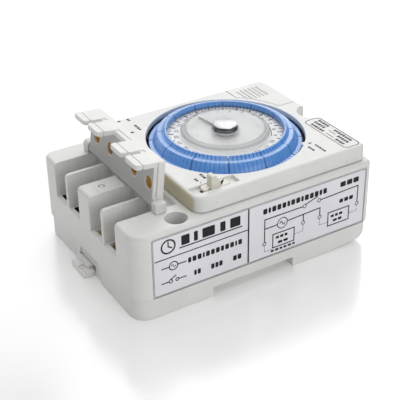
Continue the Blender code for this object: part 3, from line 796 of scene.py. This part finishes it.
def dial_print():
    """A tick each quarter of an hour, longer on the half and the full hour, hour numbers and a
    painted dark arc of shade.
    """
    ink = Print(on_dial)
    for quarter in range(PINS):
        degrees = 360 / PINS * quarter
        length, width = 0.5, 0.24
        if quarter % 4 == 0:
            length, width = 1.8, 0.56
        elif quarter % 2 == 0:
            length, width = 1.0, 0.32
        ink.line(polar(TICK_R - length, degrees), polar(TICK_R, degrees), width)
    for hour in range(24):
        degrees = 82 - 15 * hour
        ink.numeral(str(hour + 1), 1.7, polar(19.2, degrees), degrees - 90)
    # Painted shadow: a dark arc on the dial under the clear disc's right rim, where the rim's shade
    # falls.
    ink.ring(DIAL, 17.95, 0.3, -41, -18, 240)
    ink.piece("dial_print", FINISHES["black"], "dial", "black")


# A pin's side view as (radius, height): foot, flange, sloped wall, step and raised lip
PIN_PROFILE = (
    (24.9, 40.4), (30.0, 40.4), (30.0, 40.7), (29.85, 40.86), (28.45, 40.95),
    (26.65, 44.28), (26.45, 44.4), (24.85, 44.42), (24.7, 44.5), (23.85, 45.6),
    (23.65, 45.8), (23.1, 45.82), (22.95, 45.65), (22.72, 43.4), (24.9, 43.4),
)
# By number of the profile's point: how far it drops at a pin's flank, and how wide the
# chamfer is there, where it isn't PIN_CHAMFER
FLANK_DROP = {2: 0.05, 3: 0.05, 4: 0.05, 5: 0.05, 9: 0.5, 10: 0.55, 11: 0.25, 12: 0.16, 13: -0.9}
WIDE_CHAMFER = {9: 0.2, 10: 0.22, 13: 0.5}


def pin(middle, trims):
    """One setting pin about an angle, with its two flanks trimmed back and chamfered."""
    half = math.pi / PINS
    rings = []
    for side, flank in ((-1, True), (-1, False), (1, False), (1, True)):
        ring = []
        for spot, (radius, height) in enumerate(PIN_PROFILE):
            inset = trims[side]
            if flank:
                height -= FLANK_DROP.get(spot, 0.0)
            else:
                inset += WIDE_CHAMFER.get(spot, PIN_CHAMFER)
            angle = middle + side * (half - inset / radius)
            ring.append((DIAL.x + radius * math.cos(angle),
                         DIAL.y + radius * math.sin(angle), height))
        rings.append(ring)
    return loft(rings)


def pins():
    """The setting pins, in banks with room to slide between them."""
    per_bank = PINS // BANKS
    for bank in range(BANKS):
        parts = []
        for place in range(per_bank):
            middle = math.pi / PINS * (2 * (bank * per_bank + place) + 1)
            trims = {
                -1: BANK_GAP if place == 0 else PIN_GAP,
                1: BANK_GAP if place == per_bank - 1 else PIN_GAP,
            }
            parts.append(pin(middle, trims))
        make(f"pins_of_bank_{bank + 1:02d}", joined(parts), FINISHES["pin_blue"],
             f"pins_{bank + 1:02d}", (f"setting_pins_{bank + 1:02d}",), crease=28)
    bank_ribs()


def bank_ribs():
    """Thin ribs of the dial between the banks, a little lower than the pins."""
    foot = ((24.9, 40.1), (29.0, 40.1), (29.0, 40.5), (28.9, 40.6))
    upper = tuple((radius, height - RIB_DROP) for radius, height in PIN_PROFILE[len(foot):])
    ribs = []
    for bank in range(BANKS):
        angle = 2 * math.pi * bank / BANKS
        along = Vector((math.cos(angle), math.sin(angle)))
        across = Vector((-along.y, along.x)) * (RIB / 2)
        rings = []
        for side in (-1, 1):
            ring = []
            for radius, height in foot + upper:
                spot = DIAL.xy + along * radius + across * side
                ring.append((spot.x, spot.y, height))
            rings.append(ring)
        ribs.append(loft(rings))
    make("bank_ribs", joined(ribs), FINISHES["pin_blue"], "dial")


def clear_disc():
    """The minute disc: a chamfered rim and a shallow groove round the knob."""
    profile = [
        (5.6, 44.2), (17.4, 44.2), (17.6, 44.3), (17.6, 44.55), (16.6, 45.5), (16.4, 45.68),
        (16.2, 45.7), (8.2, 45.7), (8.05, 45.6), (7.9, 45.7), (5.6, 45.7),
    ]
    make("clear_disc", turned(profile, DIAL, 120, bored=True), FINISHES["clear"], "centre",
         ("minute_disc",))


def disc_print():
    """Fine ticks on the disc's top and on its chamfer, and pale minute numbers."""
    turns = [360 / DISC_MARKS * mark for mark in range(DISC_MARKS)]
    ink = Print(on_disc)
    for mark, degrees in enumerate(turns):
        inner = 14.9 if mark % 10 == 0 else 15.3
        ink.line(polar(inner, degrees), polar(16.3, degrees), 0.24)
    ink.piece("minute_ticks", FINISHES["black"], "centre", "black")
    lines = []
    for degrees in turns:
        start = Vector((*polar(17.5, degrees), 44.72))
        end = Vector((*polar(16.7, degrees), 45.48))
        side = (Vector((*polar(1.0, degrees + 90), 0)) - DIAL) * 0.13
        lift = Vector((0, 0, INK))
        low = [start - side, start + side, end + side, end - side]
        lines.append(loft([[tuple(p) for p in low], [tuple(p + lift) for p in low]]))
    make("rim_ticks", joined(lines), FINISHES["black"], "centre")
    faint = Print(on_disc)
    for step in range(1, 13):
        degrees = 90 - 30 * step
        faint.numeral(str(5 * step), 1.3, polar(12.6, degrees), degrees - 90)
    faint.piece("minute_numerals", PALE_INK, "centre", "black")


def knob():
    """The turned centre knob: a broad foot, a waist and a rounded head."""
    profile = [
        (0.02, 44.7), (5.3, 44.7), (5.42, 44.82), (5.42, 45.35), (5.3, 45.5), (4.75, 45.62),
        (4.6, 45.75), (4.6, 46.1), (4.72, 46.25), (4.72, 47.05), (4.6, 47.3), (4.3, 47.4),
        (0.02, 47.4),
    ]
    make("turned_knob", turned(profile, DIAL, 96), FINISHES["chrome"], "centre",
         ("centre_knob",))


def hand():
    """The minute hand under the disc: a tapering blade on a flat hub."""
    half_widths = [(3.4, 0.5), (9.0, 0.42), (16.2, 0.3), (16.5, 0.0)]
    along = Vector(polar(1.0, HAND_DEGREES)) - DIAL.xy
    side = Vector((-along.y, along.x))
    outline = [DIAL.xy + along * reach + side * half for reach, half in half_widths]
    outline += [DIAL.xy + along * reach - side * half for reach, half in half_widths[-2::-1]]
    blade = loft([[(p.x, p.y, z) for p in outline] for z in (HAND_TOP - 0.5, HAND_TOP)])
    profile = [(1.9, 43.4), (3.6, 43.4), (3.7, 43.5), (3.7, 43.85), (3.6, HAND_TOP),
               (1.9, HAND_TOP)]
    hub = turned(profile, DIAL, 64, bored=True)
    make("hand", joined([blade, hub]), FINISHES["black"], "centre",
         ("minute_hand",), 0.05)


# Case


def housing():
    """The housing: fine grooves in the entries' walls, shallow recesses, softer block edges."""
    grooves = []
    for y in SLOT_Y:
        wall = y + SLOT_HALF
        for x in GROOVE_X:
            grooves.append(box(x - 0.22, x + 0.22, wall - 0.3, wall + 0.16, 22.0, 60))
    recesses = [
        box(-51.0, -47.4, -1.9, 5.3, LEDGE_Z - 0.14, 50),
        box(-50.8, -47.2, -29.2, -24.6, LEDGE_Z - 0.14, 50),
    ]
    softer = [
        ((-53, -3.0, 24), (-40, 6.5, 37), 0.6),
        ((-53, -38, 24), (-49, -23, 37), 0.7),
        ((-53, 15, 24), (-33, 18, 37), 0.45),
        ((-53, -15, 24), (-33, -12, 37), 0.45),
    ]
    shell("housing", "root", FINISHES["case_white"], 0.3, grooves + recesses, softer=softer)


def rear_cover():
    """The rear cover, with the latch's channel part filled to fit the narrower latch."""
    filled = [
        box(-51.9, -20.0, LATCH_EDGE + 0.3, 14.05, 1.25, 4.35),
        box(-51.9, -20.0, LATCH_EDGE + 0.3, 12.05, 0.7, 1.5),
    ]
    shell("rear_cover", "root", FINISHES["case_white"], 0.3, extras=filled)


def covers():
    """The raised cover, the battery door, the terminal cover and its two brackets."""
    shell("front_cover", "root", FRONT_WHITE, 0.25)
    shell("battery_door", "battery_door", FINISHES["case_white"], 0.16)
    shell("terminal_cover", "terminal_cover", FINISHES["cover_white"], 0.3)
    trim = [box(-40, -30, -28, -23, 39.9, 50)]
    shell("hinge_bracket_near", "root", FINISHES["case_white"], 0.14, trim)
    shell("hinge_bracket_far", "root", FINISHES["case_white"], 0.3)


def block_pin():
    """The small pin in the thick block between the wire entries."""
    profile = [(0.02, 30), (0.95, 30), (0.95, 35.6), (0.8, 35.8), (0.02, 35.8)]
    pin_body = turned(profile, Vector((-44.5, 1.9, 0)), 32)
    make("block_pin", pin_body, FINISHES["case_white"], "root")


def latch():
    """The rail latch: a spine with the spring's window and a stepped thumb grip."""
    low, high = node_box("rail_latch")
    end, near = low.x, low.y
    spine = box(-50.6, high.x, 0.5, LATCH_EDGE, 1.65, 3.95)
    parts = [
        box(-53.0, -18.9, 0.5, LATCH_EDGE - 0.4, 0.35, 2.4),
        box(end, -52.2, near, LATCH_EDGE, 0.42, 1.5),
        box(end + 0.25, -51.2, 4.9, LATCH_EDGE, 1.0, 2.4),
        box(end + 1.1, -51.2, near, 1.4, 1.0, 2.3),
        box(-53.2, -50.4, 0.5, LATCH_EDGE, 1.0, 3.95),
    ]
    bm = carve(spine, parts, "UNION")
    window = [
        box(-40, -23, 4, 8, -1, 9),
        turned([(0.45, -1), (0.45, 9)], Vector((end + 1.5, 3.2, 0)), 20),
    ]
    bm = carve(bm, window)
    make("latch_slide", bm, FINISHES["latch_white"], "rail_latch",
         ("rail_latch",), 0.25)


def override_knob():
    """The override slider: a rounded plate with a wedge-shaped thumb lever."""
    low, high = node_box("override_slider")
    middle = (low.x + high.x) / 2
    plate = rounded(low.x, high.x, low.y, high.y, 1.6, 6)
    body = loft([[(x, y, z) for x, y in plate] for z in (41.5, TOP_Z - 0.05)])
    wedge = [(-2.7, 42.2), (1.4, 42.2), (1.4, 43.9), (-0.6, 47.0), (-1.0, 47.3), (-2.3, 47.3),
             (-2.7, 46.9)]
    lever = loft([[(middle + x, y, z) for x, z in wedge] for y in (low.y + 0.15, -28.15)])
    peg = box(-15.6, -13.4, -30.2, -28.8, low.z, 42)
    bm = carve(body, [lever, peg], "UNION")
    make("override_knob", bm, FINISHES["ivory"], "override", ("override_slider",), 0.3)


def pips():
    """Small snap pips on the raised cover's long side."""
    parts = []
    for x, z in ((-17.2, 39.1), (41.0, 38.2)):
        dome = bmesh.new()
        bmesh.ops.create_uvsphere(dome, u_segments=20, v_segments=12, radius=0.45)
        bmesh.ops.scale(dome, vec=(1, 0.7, 1), verts=dome.verts)
        bmesh.ops.translate(dome, vec=(x, FRONT_LOW.y, z), verts=dome.verts)
        parts.append(dome)
    make("snap_pips", joined(parts), FINISHES["case_white"], "root")


def index_pointer():
    """The white mark at the edge of the well that shows the time."""
    degrees = -47.0
    outline = [polar(WELL_R + 0.4, degrees - 3.4), polar(WELL_R + 0.4, degrees + 3.4),
               polar(30.15, degrees + 0.8), polar(30.15, degrees - 0.8)]
    rings = [[(x, y, z) for x, y in outline] for z in (41.0, TOP_Z - 0.02)]
    make("index_pointer", loft(rings), FINISHES["case_white"], "root", bevel=0.12)


def paint_cad():
    """Gives every CAD node its slot's finish, for the nodes that still show."""
    for part in frame["record"]["subparts"]:
        thing = frame["nodes"][part["node"]]
        finish = FINISHES[part["material_slot"]].material
        if not thing.material_slots:
            thing.data.materials.append(finish)
        for place in thing.material_slots:
            place.material = finish


# Studio

# Name, place in metres, power in watts, and width and height in metres
LIGHTS = (
    ("over", (0.0, 0.05, 1.0), 9.0, (1.4, 1.4)),
    ("back_right", (0.7, 0.8, 0.8), 3.0, (0.8, 0.8)),
    ("back", (0.3, 1.3, 0.55), 10.5, (3.0, 1.0)),
    ("front", (0.2, -1.2, 0.5), 5.9, (1.0, 0.6)),
    ("left", (-1.2, 0.2, 0.4), 0.9, (0.8, 0.6)),
)
LIGHTS_AIM = Vector((0, 0, 0.02))

CAMERA_PLACE = Vector((-179.4, -292.6, 225.3))
CAMERA_LOOK = Vector((0.44343, 0.74583, -0.49710))
CAMERA_ROLL = math.radians(-1.071)
CAMERA_LENS = 90.66
CAMERA_SHIFT = (0.0138, -0.0679)


def studio():
    world = bpy.data.worlds.new("studio")
    bpy.context.scene.world = world
    world.use_nodes = True
    sky = world.node_tree.nodes["Background"]
    sky.inputs["Color"].default_value = (1.0, 1.0, 1.0, 1.0)
    sky.inputs["Strength"].default_value = 0.04
    ground = bmesh.new()
    bmesh.ops.create_grid(ground, x_segments=1, y_segments=1, size=4.0)
    mesh = bpy.data.meshes.new("floor")
    ground.to_mesh(mesh)
    ground.free()
    floor = bpy.data.objects.new("floor", mesh)
    floor.location.z = -0.0001
    paper = Finish("floor", (0.93, 0.93, 0.93), 0.2)
    paper.tint(paper.spread(paper.noise(180, 2), 0.0, 1.0), (0.91, 0.91, 0.91))
    paper.rough(paper.spread(paper.noise(40, 3), 0.17, 0.24))
    paper.shader.inputs["IOR"].default_value = 2.6
    paper.shader.inputs["Emission Color"].default_value = (1.0, 0.99, 0.985, 1.0)
    paper.shader.inputs["Emission Strength"].default_value = 0.11
    mesh.materials.append(paper.material)
    bpy.context.scene.collection.objects.link(floor)
    for name, place, power, (width, height) in LIGHTS:
        lamp = bpy.data.lights.new(name, "AREA")
        lamp.shape = "RECTANGLE"
        lamp.energy = power
        lamp.size = width
        lamp.size_y = height
        holder = bpy.data.objects.new(name, lamp)
        holder.location = place
        holder.rotation_euler = (LIGHTS_AIM - Vector(place)).to_track_quat("-Z", "Y").to_euler()
        bpy.context.scene.collection.objects.link(holder)


def camera():
    forward = CAMERA_LOOK.normalized()
    right = forward.cross(Vector((0, 0, 1))).normalized()
    up = right.cross(forward)
    cosine, sine = math.cos(CAMERA_ROLL), math.sin(CAMERA_ROLL)
    right, up = right * cosine + up * sine, up * cosine - right * sine
    lens = bpy.data.cameras.new("camera")
    lens.lens = CAMERA_LENS
    lens.sensor_width = 36.0
    lens.shift_x, lens.shift_y = CAMERA_SHIFT
    lens.clip_start = 0.01
    lens.clip_end = 20.0
    holder = bpy.data.objects.new("camera", lens)
    spot = TO_FRAME @ CAMERA_PLACE
    turn = Matrix((right, up, -forward)).transposed().to_4x4()
    holder.matrix_world = Matrix.Translation(spot) @ turn
    bpy.context.scene.collection.objects.link(holder)
    bpy.context.scene.camera = holder
    bpy.context.scene.view_settings.view_transform = "Standard"


camera()
studio()
paint_cad()
housing()
rear_cover()
covers()
block_pin()
latch()
override_knob()
pips()
index_pointer()
label()
front_print()
dial_print()
pins()
clear_disc()
disc_print()
knob()
hand()
